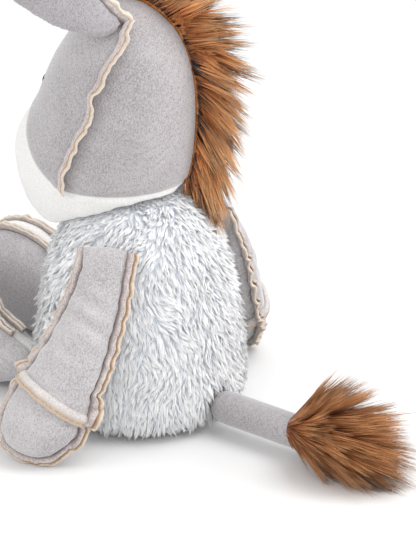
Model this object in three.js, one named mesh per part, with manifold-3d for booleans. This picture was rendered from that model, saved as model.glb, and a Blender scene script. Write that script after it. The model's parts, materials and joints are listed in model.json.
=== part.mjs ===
// Seated plush donkey dog toy, in millimetres.
// +Z is up, the toy faces -Y and its left is +X. The origin is the middle of the flat seat.
// The head, arms, legs and tail are stuffed covers that turn on their sewn roots.
import * as THREE from 'three';
import { mergeVertices } from 'three/addons/utils/BufferGeometryUtils.js';
import Module from 'manifold-3d';

const wasm = await Module();
wasm.setup();

// Fabric and clearances
const gap = 0.3;
const velourThickness = 1.8;
const plushThickness = 8;
const seamHeight = 5.5;
const seamThickness = 2.4;
const floorCut = 0.5;
const turnGap = 0.6;

// Body
const bodyHeight = 145;
const bodyRadius = 64;
const neckRadius = 46;
const neckHeight = 120;
const baseRadius = 50;
const baseThickness = 3;
const neckHoleRadius = 16;

// Squeaker
const squeakerRadius = 17;
const squeakerHeight = 22;
const squeakerDisc = 2;
const bellowsCount = 3;
const bellowsDepth = 2.5;
const reedRadius = 4;
const pocketHeight = 60;

// Head
const headTurn = 24;
const headTall = 140;
const jawBelowNeck = 8.5;
const cheekHalfWidth = 49;
const muzzleReach = 75;
const headBack = 36;
const noseTaper = 0.25;
const eyeRadius = 4;
const eyeSpread = 9;
const eyeShare = 0.634;
const eyeThickness = 1.2;
const maneHeight = 24;
const maneWidth = 24;

// Ears
const earLength = 101;
const earWidth = 52;
const earThickness = 5;
const earEdgeGap = 0.9;
const earRollRadius = 60;
const earLean = 50;
const earTurn = 27;
const earRingShare = 0.21;
const earRingAngle = 92;

// Arms
const shoulderBelowNeck = 4.5;
const shoulderTurn = 20;
const armSplay = 22.4;
const armWidth = 30;
const hoofWidth = 49;
const hoofThickness = 36;
const hemRadius = 5;
const leftHandForward = 28;
const rightHandForward = 42;
const wristShare = 0.69;
const wristTilt = 28;
const shoulderRange = [0, 100];

// Legs
const hipSpread = 36;
const hipRadius = 13.5;
const legThickness = 45;
const legWidth = 42;
const footReach = 112;
const footHeight = 78;
const gussetWidth = 18;
const hipStandOff = 7;
const hipRange = [-30, 40];

// Tail
const tailRadius = 10;
const tailLength = 47;
const tailFloorGap = 5.5;
const tuftLength = 84;
const tuftDiameter = 52;
const tuftOverlap = 9;

// Solids: closed geometry to boolean solid and back
function solid(geometry) {
  const bare = geometry.clone();
  bare.deleteAttribute('normal');
  bare.deleteAttribute('uv');
  const merged = mergeVertices(bare, 1e-4);
  return new wasm.Manifold(new wasm.Mesh({
    numProp: 3,
    vertProperties: new Float32Array(merged.attributes.position.array),
    triVerts: new Uint32Array(merged.index.array),
  }));
}

function geometryOf(shape) {
  const mesh = shape.getMesh();
  const geometry = new THREE.BufferGeometry();
  geometry.setAttribute('position', new THREE.BufferAttribute(mesh.vertProperties, 3));
  geometry.setIndex(new THREE.BufferAttribute(mesh.triVerts, 1));
  return geometry;
}

// Materials
function cloth(colour) {
  return new THREE.MeshStandardMaterial({ color: colour, roughness: 0.95, metalness: 0 });
}

const velour = cloth('#b3adad');
const paleVelour = cloth('#d9d5d2');
const whiteVelour = cloth('#efece9');
const rawEdge = cloth('#e3d3be');
const plush = cloth('#dfe2e6');
const brownFur = cloth('#94562f');
const fibre = cloth('#f4f2ee');
const thread = cloth('#3a2f2b');
const squeakerPlastic = new THREE.MeshStandardMaterial({ color: '#e9e6dd', roughness: 0.5, metalness: 0 });

function piece(name, geometry, material) {
  const mesh = new THREE.Mesh(geometry, material);
  mesh.name = name;
  return mesh;
}

function volume(geometry) {
  const corners = [0, 1, 2].map(() => new THREE.Vector3());
  let sum = 0;
  for (let i = 0; i < geometry.index.count; i += 3) {
    corners.forEach((corner, k) => {
      corner.fromBufferAttribute(geometry.attributes.position, geometry.index.getX(i + k));
    });
    sum += corners[0].dot(corners[1].cross(corners[2])) / 6;
  }
  return sum;
}

function reversed(geometry) {
  const order = geometry.index.array;
  for (let i = 0; i < order.length; i += 3) {
    [order[i + 1], order[i + 2]] = [order[i + 2], order[i + 1]];
  }
  return geometry;
}

// Closed skin through rings of points, with one pole point at each end
function skin(pointAt, rings, sides) {
  const position = [];
  const index = [];
  position.push(...pointAt(0, 0).toArray());
  for (let i = 1; i < rings; i += 1) {
    for (let j = 0; j < sides; j += 1) {
      position.push(...pointAt(i / rings, (2 * Math.PI * j) / sides).toArray());
    }
  }
  position.push(...pointAt(1, 0).toArray());
  const last = position.length / 3 - 1;
  const at = (i, j) => 1 + (i - 1) * sides + (j % sides);
  for (let j = 0; j < sides; j += 1) {
    index.push(0, at(1, j), at(1, j + 1));
    for (let i = 1; i < rings - 1; i += 1) {
      index.push(at(i, j), at(i + 1, j), at(i, j + 1));
      index.push(at(i, j + 1), at(i + 1, j), at(i + 1, j + 1));
    }
    index.push(at(rings - 1, j + 1), at(rings - 1, j), last);
  }
  const geometry = new THREE.BufferGeometry();
  geometry.setAttribute('position', new THREE.Float32BufferAttribute(position, 3));
  geometry.setIndex(index);
  return solid(volume(geometry) < 0 ? reversed(geometry) : geometry);
}

// How much closer the rings lie at both ends of a form
const endEasing = 0.35;

// A stuffed form: two edge curves in the Y-Z plane share their end points, and a
// half-thickness swells to either side in X, or to one side only where it is a layer.
// Grow moves the whole surface out or in.
function stuffed({ edgeA, edgeB, swell, taper = 0, layer = 0 }) {
  const toCurve = (points) => new THREE.SplineCurve(points.map(([y, z]) => new THREE.Vector2(y, z)));
  const curveA = toCurve(edgeA);
  const curveB = toCurve(edgeB);
  const curveSwell = toCurve(swell.map((value, i) => [value, i]));
  const first = curveA.getPoint(0);
  const last = curveA.getPoint(1);
  const middle = first.clone().add(last).multiplyScalar(0.5);
  const spine = last.clone().sub(first);
  const halfSpine = spine.length() / 2;
  spine.normalize();
  const surface = (grow, t, angle) => {
    const eased = ((1 - Math.cos(Math.PI * t)) / 2) * endEasing + t * (1 - endEasing);
    const a = curveA.getPoint(eased);
    const b = curveB.getPoint(eased);
    const centre = a.clone().add(b).multiplyScalar(0.5);
    const half = a.clone().sub(b).multiplyScalar(0.5);
    const pole = t === 0 || t === 1;
    const stretch = pole ? 0 : (half.length() + grow) / Math.max(half.length(), 1e-6);
    const across = pole ? 0 : Math.max(curveSwell.getPoint(eased).x + grow, 0.4);
    const narrow = 1 - taper * (1 + Math.cos(angle)) / 2;
    const flat = centre.add(half.multiplyScalar(stretch * Math.cos(angle)));
    const along = flat.clone().sub(middle).dot(spine);
    flat.addScaledVector(spine, (along * grow) / halfSpine);
    const bulge = Math.sin(angle);
    const x = layer ? layer * (gap / 2 + across * Math.max(0, layer * bulge)) : across * narrow * bulge;
    return new THREE.Vector3(x, flat.x, flat.y);
  };
  const form = (grow, rings, sides) => skin((t, angle) => surface(grow, t, angle), rings, sides);
  form.surface = surface;
  return form;
}

// Cutting blocks and slabs
const far = 400;

function block(minimum, maximum) {
  const size = maximum.map((value, i) => value - minimum[i]);
  const geometry = new THREE.BoxGeometry(...size);
  geometry.translate(...minimum.map((value, i) => value + size[i] / 2));
  return solid(geometry);
}

const slabX = (from, to) => block([from, -far, -far], [to, far, far]);
const slabZ = (from, to) => block([-far, -far, from], [far, far, to]);

// Everything on one side of a curve in the Y-Z plane, as an extruded outline
function sideCut(points, corners, fromX, toX, steps = 16) {
  const curve = new THREE.SplineCurve(points.map(([y, z]) => new THREE.Vector2(y, z)));
  const outline = [...curve.getPoints(steps), ...corners.map(([y, z]) => new THREE.Vector2(y, z))];
  const geometry = new THREE.ExtrudeGeometry(new THREE.Shape(outline), {
    depth: toX - fromX, bevelEnabled: false,
  });
  const yzx = new THREE.Matrix4().makeBasis(
    new THREE.Vector3(0, 1, 0), new THREE.Vector3(0, 0, 1), new THREE.Vector3(1, 0, 0),
  );
  geometry.applyMatrix4(yzx);
  geometry.translate(fromX, 0, 0);
  return solid(geometry);
}

function ball(radius, x, y, z) {
  const geometry = new THREE.SphereGeometry(radius, 14, 9);
  geometry.translate(x, y, z);
  return solid(geometry);
}

function turned(points, sides) {
  const profile = points.map(([radius, z]) => new THREE.Vector2(radius, z));
  const geometry = new THREE.LatheGeometry(profile, sides);
  geometry.rotateX(Math.PI / 2);
  return solid(geometry);
}

// The floor plane as seen from a group that is placed above it
function floorUnder(group) {
  group.updateMatrixWorld(true);
  const geometry = new THREE.BoxGeometry(2 * far, 2 * far, far);
  geometry.translate(0, 0, -far / 2);
  geometry.applyMatrix4(group.matrixWorld.clone().invert());
  return solid(geometry);
}

function mirroredX(geometry) {
  const copy = geometry.clone();
  copy.scale(-1, 1, 1);
  return reversed(copy);
}

// Body profile: radius against height, the same for cover, filling and neck clearance
const aboveNeck = bodyHeight - neckHeight;
const bodyProfile = new THREE.SplineCurve([
  new THREE.Vector2(baseRadius, 0),
  new THREE.Vector2(bodyRadius * 0.953, neckHeight * 0.058),
  new THREE.Vector2(bodyRadius, neckHeight * 0.183),
  new THREE.Vector2(bodyRadius * 0.984, neckHeight * 0.383),
  new THREE.Vector2(bodyRadius * 0.906, neckHeight * 0.667),
  new THREE.Vector2(neckRadius * 1.13, neckHeight * 0.85),
  new THREE.Vector2(neckRadius, neckHeight),
  new THREE.Vector2(neckRadius * 0.826, neckHeight + aboveNeck * 0.48),
  new THREE.Vector2(neckRadius * 0.587, neckHeight + aboveNeck * 0.82),
  new THREE.Vector2(0, bodyHeight),
]);

function bodyRadiusAt(height) {
  const samples = bodyProfile.getPoints(120);
  const above = samples.findIndex((point) => point.y > height);
  const low = samples[above - 1];
  const high = samples[above];
  return low.x + ((high.x - low.x) * (height - low.y)) / (high.y - low.y);
}

function bodySolid(grow, rings, sides, reach = 1) {
  const points = bodyProfile.getPoints(rings);
  const profile = points.map((point, i) => {
    const before = points[Math.max(i - 1, 0)];
    const after = points[Math.min(i + 1, rings)];
    const along = after.clone().sub(before).normalize();
    const radius = i === rings ? 0 : (point.x + along.y * grow) * reach;
    const drop = i === 0 ? 0 : -along.x * grow;
    return [radius, i === rings ? point.y + grow : point.y + drop];
  });
  return turned([[0, profile[0][1]], ...profile], sides);
}

const bodyRings = 12;
const bodyTurns = 28;
const sweepStep = 5;
const wadTurns = 16;
const roundOut = 1 / Math.cos(Math.PI / bodyTurns);

// Roots: where limbs and tail meet the body
const hipForward = Math.sqrt(bodyRadius ** 2 - hipSpread ** 2) + hipStandOff;
const hipHeight = legThickness / 2;
const tailRoot = bodyRadius + tailRadius / 5;
const tailHeight = tailRadius + tailFloorGap;
const recessGap = 1;
const shoulderHeight = neckHeight - shoulderBelowNeck;
const shoulderReach = bodyRadiusAt(shoulderHeight) + hemRadius + turnGap;

function rootRecesses(room = recessGap) {
  return ball(hipRadius + room, hipSpread, -hipForward, hipHeight)
    .add(ball(hipRadius + room, -hipSpread, -hipForward, hipHeight))
    .add(ball(tailRadius + room, 0, tailRoot, tailHeight));
}

// What the body sweeps through, seen from a limb that turns on its root
function bodySweep(group, axis, range) {
  group.updateMatrixWorld(true);
  const inward = group.matrixWorld.clone().invert();
  const body = geometryOf(bodySolid(turnGap, bodyRings, bodyTurns, roundOut)
    .subtract(rootRecesses(recessGap / 2)));
  const steps = Math.ceil((range[1] - range[0]) / sweepStep);
  let swept = null;
  for (let i = 0; i <= steps; i += 1) {
    const angle = THREE.MathUtils.degToRad(range[0] + ((range[1] - range[0]) * i) / steps);
    const turnBack = new THREE.Matrix4().makeRotationAxis(axis, -angle).multiply(inward);
    const seen = solid(body.clone().applyMatrix4(turnBack));
    swept = swept ? swept.add(seen) : seen;
  }
  return swept;
}

// Body: front panel, two back panels, base disc and two wads of filling round the squeaker
function buildBody() {
  const group = new THREE.Group();
  const outer = bodySolid(0, bodyRings, bodyTurns);
  const hollow = bodySolid(-plushThickness, 9, wadTurns);
  const neckHole = turned([[0, neckHeight + hemRadius], [neckHoleRadius, neckHeight + hemRadius],
    [neckHoleRadius, bodyHeight + hemRadius], [0, bodyHeight + hemRadius]], wadTurns);
  const cover = outer.subtract(hollow).subtract(neckHole).subtract(rootRecesses());
  const wall = cover.subtract(slabZ(-1, baseThickness + gap));
  const half = gap / 2;
  const front = wall.intersect(block([-far, -far, -1], [far, -half, far]));
  const backLeft = wall.intersect(block([half, half, -1], [far, far, far]));
  const backRight = wall.intersect(block([-far, half, -1], [-half, far, far]));
  const base = bodySolid(0, bodyRings, bodyTurns).intersect(slabZ(-1, baseThickness)).subtract(rootRecesses());
  group.add(piece('body_front', geometryOf(front), plush));
  group.add(piece('body_back_left', geometryOf(backLeft), plush));
  group.add(piece('body_back_right', geometryOf(backRight), plush));
  group.add(piece('body_base', geometryOf(base), plush));

  const stuffing = bodySolid(-plushThickness - gap, 9, wadTurns)
    .subtract(slabZ(-1, baseThickness + gap)).subtract(rootRecesses());
  const pocketRadius = squeakerRadius + 2;
  const pocketTop = pocketHeight + squeakerHeight + 2 * gap;
  const pocket = turned([[0, pocketHeight], [pocketRadius, pocketHeight],
    [pocketRadius, pocketTop], [0, pocketTop]], wadTurns);
  const split = pocketHeight + squeakerHeight / 2;
  const packed = stuffing.subtract(pocket);
  group.add(piece('body_filling_lower', geometryOf(packed.intersect(slabZ(0, split - half))), fibre));
  group.add(piece('body_filling_upper', geometryOf(packed.intersect(slabZ(split + half, far))), fibre));
  return group;
}

// Squeaker: base disc with the reed, a bellows and a cap that is pressed down
function buildSqueaker() {
  const group = new THREE.Group();
  const bottom = pocketHeight + gap;
  const top = bottom + squeakerHeight - gap;
  const discTop = bottom + squeakerDisc;
  const capBottom = top - squeakerDisc;
  const base = turned([[0, bottom], [squeakerRadius, bottom], [squeakerRadius, discTop],
    [reedRadius, discTop], [reedRadius, discTop + squeakerDisc * 2], [0, discTop + squeakerDisc * 2]], 20);
  const cap = turned([[0, capBottom], [squeakerRadius, capBottom], [squeakerRadius, top], [0, top]], 20);
  const low = discTop + gap;
  const high = capBottom - gap;
  const fold = (high - low) / (2 * bellowsCount);
  const wall = squeakerDisc / 2;
  const ribs = [];
  for (let i = 0; i <= 2 * bellowsCount; i += 1) {
    const radius = squeakerRadius - (i % 2 ? 0 : bellowsDepth);
    ribs.push([radius, low + i * fold]);
  }
  const inner = ribs.map(([radius, z]) => [radius - wall, z]).reverse();
  const bellows = turned([...ribs, ...inner, ribs[0]], 20);
  group.add(piece('squeaker_base', geometryOf(base), squeakerPlastic));
  group.add(piece('squeaker_bellows', geometryOf(bellows), squeakerPlastic));
  group.add(piece('squeaker_cap', geometryOf(cap), squeakerPlastic));
  return group;
}

// Head in its own frame: it faces -Y and its jaw sits over the dome of the body.
// Its lines are shares of the way from the neck axis to the muzzle or to the back of the
// head, against shares of its height above the jaw.
const jawHeight = neckHeight - jawBelowNeck;
const headUp = (share) => jawHeight + share * headTall;
const toMuzzle = ([share, rise]) => [-share * muzzleReach, headUp(rise)];
const toBack = ([share, rise]) => [share * headBack, headUp(rise)];
const crown = toMuzzle([0.067, 1]);
const jaw = toMuzzle([0.333, 0.003]);
const headForm = stuffed({
  edgeA: [
    crown,
    ...[[0.227, 0.985], [0.507, 0.873], [0.72, 0.661], [0.8, 0.547], [0.947, 0.44],
      [1, 0.296], [0.893, 0.1], [0.667, 0]].map(toMuzzle),
    jaw,
  ],
  edgeB: [
    crown,
    ...[[0.25, 0.975], [0.75, 0.86], [0.97, 0.68], [1.01, 0.53], [0.98, 0.4],
      [0.88, 0.275], [0.68, 0.157], [0.149, 0.04]].map(toBack),
    jaw,
  ],
  swell: [0, 0.388, 0.755, 0.918, 0.98, 1, 1, 0.898, 0.653, 0].map((share) => share * cheekHalfWidth),
  taper: noseTaper,
});
const headRings = 16;
const headSides = 20;

function neckClearance(grow) {
  return bodySolid(grow, bodyRings, bodyTurns, roundOut).intersect(slabZ(neckHeight - 20, far));
}

// The cheek seam runs from the ear down to the chin band; the face lies in front of it
const cheekLine = [[-0.16, 1.125], [-0.107, 0.982], [0.067, 0.803], [0.2, 0.597], [0.333, 0.453],
  [0.44, 0.261], [0.467, -0.085]].map(toMuzzle);
const faceCorners = [[2, -0.085], [2, 1.125]].map(toMuzzle);
// The chin band is level round the sides and climbs over the front of the muzzle
const chinLine = [[-0.847, 0.25], [-0.133, 0.235], [0.44, 0.24], [0.56, 0.264], [0.72, 0.339], [0.82, 0.43],
  [0.9, 0.55], [1.267, 0.68]].map(toMuzzle);
const chinCorners = [[1.267, -0.2], [-0.847, -0.2]].map(toMuzzle);

function shiftedY(points, offset) {
  return points.map(([y, z]) => [y + offset, z]);
}

function shiftedZ(points, offset) {
  return points.map(([y, z]) => [y, z + offset]);
}

function buildHead() {
  const group = new THREE.Group();
  group.rotation.z = THREE.MathUtils.degToRad(headTurn);
  const outer = headForm(0, headRings, headSides);
  const hollow = headForm(-velourThickness, 11, 12);
  const neckCut = neckClearance(turnGap);
  const shell = outer.subtract(hollow).subtract(neckCut);
  const half = gap / 2;
  const wide = 2 * cheekHalfWidth;
  const below = sideCut(shiftedZ(chinLine, -half), chinCorners, -wide, wide);
  const notBelow = sideCut(shiftedZ(chinLine, half), chinCorners, -wide, wide);
  const ahead = sideCut(shiftedY(cheekLine, -half), faceCorners, -wide, wide);
  const notAhead = sideCut(shiftedY(cheekLine, half), faceCorners, -wide, wide);
  const upper = shell.subtract(notBelow);
  const sides = upper.subtract(notAhead);
  group.add(piece('head_side_left', geometryOf(sides.intersect(slabX(half, wide))), velour));
  group.add(piece('head_side_right', geometryOf(sides.intersect(slabX(-wide, -half))), velour));
  group.add(piece('head_face', geometryOf(upper.intersect(ahead)), velour));
  group.add(piece('head_chin', geometryOf(shell.intersect(below)), whiteVelour));
  const stuffing = headForm(-velourThickness - gap, 11, 12).subtract(neckClearance(turnGap));
  group.add(piece('head_filling', geometryOf(stuffing), fibre));

  const raised = headForm(seamHeight, headRings, headSides)
    .subtract(headForm(gap, headRings, headSides));
  const ribbon = sideCut(shiftedY(cheekLine, seamThickness / 2), faceCorners, cheekHalfWidth / 3, wide)
    .subtract(sideCut(shiftedY(cheekLine, -seamThickness / 2), faceCorners, 0, wide));
  const seamEnds = slabZ(headUp(0.233), earSeat().z - earWidth / 4);
  const cheekSeam = geometryOf(raised.intersect(ribbon).intersect(seamEnds));
  group.add(piece('cheek_seam_left', cheekSeam, rawEdge));
  group.add(piece('cheek_seam_right', mirroredX(cheekSeam), rawEdge));

  const eyeBar = new THREE.CylinderGeometry(eyeRadius, eyeRadius, far, 14);
  eyeBar.translate(eyeSpread, -far / 2, headUp(eyeShare));
  const eyePatch = headForm(eyeThickness, headRings, headSides)
    .subtract(headForm(gap, headRings, headSides)).intersect(solid(eyeBar));
  const eye = geometryOf(eyePatch);
  group.add(piece('eye_left', eye, thread));
  group.add(piece('eye_right', mirroredX(eye), thread));
  group.add(piece('mane', geometryOf(maneSolid()), brownFur));
  return group;
}

// Mane: a crest that follows the crown and the back of the head down to the nape
function maneSolid() {
  const root = toMuzzle([0.32, 0.986]);
  const nape = [headBack * 1.155, neckHeight + gap];
  const proud = ([share, height, rise]) => [share * headBack + height * maneHeight, headUp(rise)];
  const crest = stuffed({
    edgeA: [root, [-maneHeight * 0.58, headUp(1) + maneHeight * 0.83], [maneHeight * 0.67, headUp(1) + maneHeight * 0.75],
      ...[[1, 0.33, 1], [1, 0.75, 0.81], [1, 0.92, 0.554], [1, 0.87, 0.339], [1, 0.54, 0.117]].map(proud), nape],
    edgeB: [root, toMuzzle([0.16, 0.918]), ...[[0.119, 0, 0.904], [0.418, 0, 0.83], [0.62, 0, 0.68],
      [0.66, 0, 0.525], [0.62, 0, 0.325], [0.6, 0, 0.161]].map(proud), nape],
    swell: [0, 0.83, 1, 1, 1, 1, 1, 0.83, 0].map((share) => (share * maneWidth) / 2),
  });
  return crest(0, 12, 8)
    .subtract(headForm(gap, headRings, headSides))
    .subtract(neckClearance(turnGap));
}

// Ears: two cupped layers with a raised seam on the rear edge, hinged along the base crease
function earForm(layer = 0) {
  const root = earThickness / 2;
  const part = ([width, length]) => [width * earWidth, length * earLength];
  return stuffed({
    edgeA: [[0, -root], ...[[-0.173, -0.022], [-0.308, 0.079], [-0.423, 0.198], [-0.5, 0.376], [-0.5, 0.535],
      [-0.404, 0.752], [-0.154, 0.96], [0, 1]].map(part)],
    edgeB: [[0, -root], ...[[0.058, -0.022], [0.096, 0.079], [0.154, 0.198], [0.308, 0.376], [0.404, 0.535],
      [0.365, 0.752], [0.154, 0.96], [0, 1]].map(part)],
    swell: [0, 1, 1, 1, 1, 1, 0.88, 0.68, 0].map((share) => share * root),
    layer,
  });
}

function rolled(geometry) {
  const position = geometry.attributes.position;
  for (let i = 0; i < position.count; i += 1) {
    const y = position.getY(i);
    const z = position.getZ(i);
    const open = Math.min(Math.max(z, 0) / (earLength / 3), 1);
    position.setX(i, position.getX(i) - (open * y * y) / (2 * earRollRadius));
  }
  return geometry;
}

// The ear's crease sits just outside the head, a little above the cheek seam
function earSeat() {
  const angle = THREE.MathUtils.degToRad(earRingAngle);
  return headForm.surface(earThickness / 2 + 2 * gap, earRingShare, angle);
}

function buildEar(side) {
  const group = new THREE.Group();
  const seat = earSeat();
  group.position.set(side * seat.x, seat.y, seat.z);
  const lean = THREE.MathUtils.degToRad(earLean);
  const turn = THREE.MathUtils.degToRad(earTurn);
  group.rotation.set(lean, 0, side * turn, 'ZXY');
  const rings = 10;
  const sides = 10;
  const flatLayer = geometryOf(earForm(1)(0, rings, sides));
  const outer = rolled(flatLayer.clone());
  const lining = rolled(mirroredX(flatLayer));
  const rim = earForm()(seamHeight, rings, sides).subtract(earForm()(earEdgeGap, rings, sides))
    .intersect(slabX(-seamThickness / 2, seamThickness / 2))
    .intersect(block([-far, seamThickness, seamHeight], [far, far, earLength]));
  const seam = rolled(geometryOf(rim));
  const word = side > 0 ? 'left' : 'right';
  const place = (geometry) => (side > 0 ? geometry : mirroredX(geometry));
  group.add(piece(`ear_${word}_outer`, place(outer), velour));
  group.add(piece(`ear_${word}_lining`, place(lining), paleVelour));
  group.add(piece(`ear_${word}_seam`, place(seam), rawEdge));
  return group;
}

// Arms in their own frame: the hem lies along Y through the origin and the arm hangs down,
// splayed so far that the edge of the hand stands on the floor
const splay = THREE.MathUtils.degToRad(armSplay);
const armLength = (shoulderHeight + floorCut) / Math.cos(splay) - seamHeight;
const wristDrop = wristShare * armLength;

function armBend(handForward, z) {
  return -handForward * THREE.MathUtils.smoothstep(-z, armLength / 10, armLength);
}

function armForm(handForward) {
  const top = armWidth / 2;
  const wide = hoofWidth / 2;
  const edge = (sign) => [[0, hemRadius], [0.8 * top, 0.92 * hemRadius], [top, -0.066 * armLength],
    [1.067 * top, -0.29 * armLength], [0.837 * wide, -0.515 * armLength], [0.96 * wide, -wristDrop],
    [wide, -0.85 * armLength], [0.633 * wide, -0.96 * armLength], [0, -armLength]]
    .map(([y, z]) => [sign * y + armBend(handForward, z), z]);
  const thick = hoofThickness / 2;
  return stuffed({
    edgeA: edge(1),
    edgeB: edge(-1),
    swell: [0, hemRadius * 0.9, hemRadius * 1.2, thick * 0.62, thick * 0.8, thick * 0.88, thick,
      thick * 0.72, 0],
  });
}

function placeArm(side) {
  const group = new THREE.Group();
  const turn = THREE.MathUtils.degToRad(shoulderTurn);
  group.position.set(side * shoulderReach * Math.cos(turn), shoulderReach * Math.sin(turn), shoulderHeight);
  group.rotation.set(0, -side * splay, side * turn, 'ZYX');
  return group;
}

function buildArm(side) {
  const group = placeArm(side);
  const floor = floorUnder(placeArm(1))
    .add(bodySweep(placeArm(1), new THREE.Vector3(0, -1, 0), shoulderRange));
  const handForward = side > 0 ? leftHandForward : rightHandForward;
  const form = armForm(handForward);
  const atWrist = (shape) => shape.rotate([-wristTilt, 0, 0])
    .translate([0, armBend(handForward, -wristDrop), -wristDrop]);
  const rings = 11;
  const sides = 12;
  const outer = form(0, rings, sides);
  const hollow = form(-velourThickness, 10, 8);
  const shell = outer.subtract(hollow).subtract(floor);
  const half = gap / 2;
  const sleeve = shell.intersect(atWrist(slabZ(half, far)));
  const hoof = shell.intersect(atWrist(slabZ(-far, -half)));
  const stuffing = form(-velourThickness - gap, 10, 8).subtract(floor);
  const ring = slabX(-seamThickness / 2, seamThickness / 2)
    .add(atWrist(slabZ(-seamThickness / 2, seamThickness / 2)));
  const seams = form(seamHeight, rings, sides).subtract(form(gap, rings, sides)).intersect(ring)
    .intersect(slabZ(-far, -hemRadius)).subtract(floor);
  const word = side > 0 ? 'left' : 'right';
  const add = (name, shape, material) => {
    const geometry = geometryOf(shape);
    group.add(piece(`arm_${word}_${name}`, side > 0 ? geometry : mirroredX(geometry), material));
  };
  add('sleeve_outer', sleeve.intersect(slabX(half, far)), velour);
  add('sleeve_inner', sleeve.intersect(slabX(-far, -half)), velour);
  add('hoof_outer', hoof.intersect(slabX(half, far)), velour);
  add('hoof_inner', hoof.intersect(slabX(-far, -half)), velour);
  add('seams', seams, rawEdge);
  add('filling', stuffing, fibre);
  return group;
}

// Legs in their own frame: the hip is the origin, the leg runs along -Y and the foot stands up
const hipTop = hipRadius * 0.8;
const alongLeg = ([reach, height]) => [-reach * footReach, height * footHeight - hipHeight];

function legForm() {
  const floor = -floorCut / footHeight;
  const toe = 1 - seamHeight / footHeight;
  const wide = legWidth / 2;
  return stuffed({
    edgeA: [[hipRadius, 0], [hipRadius * 0.6, hipTop], [0, hipRadius],
      ...[[0.116, 0.525], [0.232, 0.59], [0.321, 0.782], [0.464, toe - 0.038], [0.625, toe],
        [0.804, toe - 0.077], [0.946, toe - 0.308], [1, 0.34]].map(alongLeg)],
    edgeB: [[hipRadius, 0], [hipRadius * 0.6, -hipTop], [0, -hipRadius],
      ...[[0.116, 0.051], [0.25, floor], [0.393, floor], [0.518, floor], [0.643, floor],
        [0.786, floor + 0.006], [0.929, floor + 0.064], [1, 0.34]].map(alongLeg)],
    swell: [0, hipRadius * 0.7, hipRadius, wide * 0.833, wide * 0.952, wide, wide, wide * 1.048,
      wide * 1.071, wide * 0.762, 0],
  });
}

function placeLeg(side) {
  const group = new THREE.Group();
  group.position.set(side * hipSpread, -hipForward, hipHeight);
  return group;
}

function buildLeg(side) {
  const group = placeLeg(side);
  const floor = floorUnder(placeLeg(1))
    .add(bodySweep(placeLeg(1), new THREE.Vector3(-1, 0, 0), hipRange));
  const form = legForm();
  const rings = 13;
  const sides = 12;
  const shell = form(0, rings, sides).subtract(form(-velourThickness, 12, 8)).subtract(floor);
  const half = gap / 2;
  const strip = gussetWidth / 2;
  const top = [[-0.165, 0.391], [0.125, 0.417], [0.321, 0.442], [0.625, 0.545], [0.821, 0.442],
    [1.071, 0.237]].map(alongLeg);
  const corners = [[1.071, 3], [-0.165, 3]].map(alongLeg);
  const thighEnd = -hipRadius * 1.3;
  const above = sideCut(top, corners, -strip + half, strip - half);
  const notAbove = sideCut(shiftedZ(top, -gap), corners, -strip - half, strip + half);
  const sidePanels = shell.subtract(notAbove);
  const stuffing = form(-velourThickness - gap, 12, 8).subtract(floor);
  const raised = form(seamHeight, rings, sides).subtract(form(gap, rings, sides)).subtract(floor);
  const band = sideCut(top, corners, strip - seamThickness / 2, strip + seamThickness / 2);
  const pastThigh = block([-far, -far, -far], [far, thighEnd, far]);
  const seam = raised.intersect(band).intersect(pastThigh);
  const innerBand = sideCut(top, corners, -strip - seamThickness / 2, -strip + seamThickness / 2);
  const innerSeam = raised.intersect(innerBand).intersect(pastThigh);
  const word = side > 0 ? 'left' : 'right';
  const add = (name, shape, material) => {
    const geometry = geometryOf(shape);
    group.add(piece(`leg_${word}_${name}`, side > 0 ? geometry : mirroredX(geometry), material));
  };
  add('side_outer', sidePanels.intersect(slabX(half, far)), velour);
  add('side_inner', sidePanels.intersect(slabX(-far, -half)), velour);
  add('gusset', shell.intersect(above), paleVelour);
  add('seam_outer', seam, rawEdge);
  add('seam_inner', innerSeam, rawEdge);
  add('filling', stuffing, fibre);
  return group;
}

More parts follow.
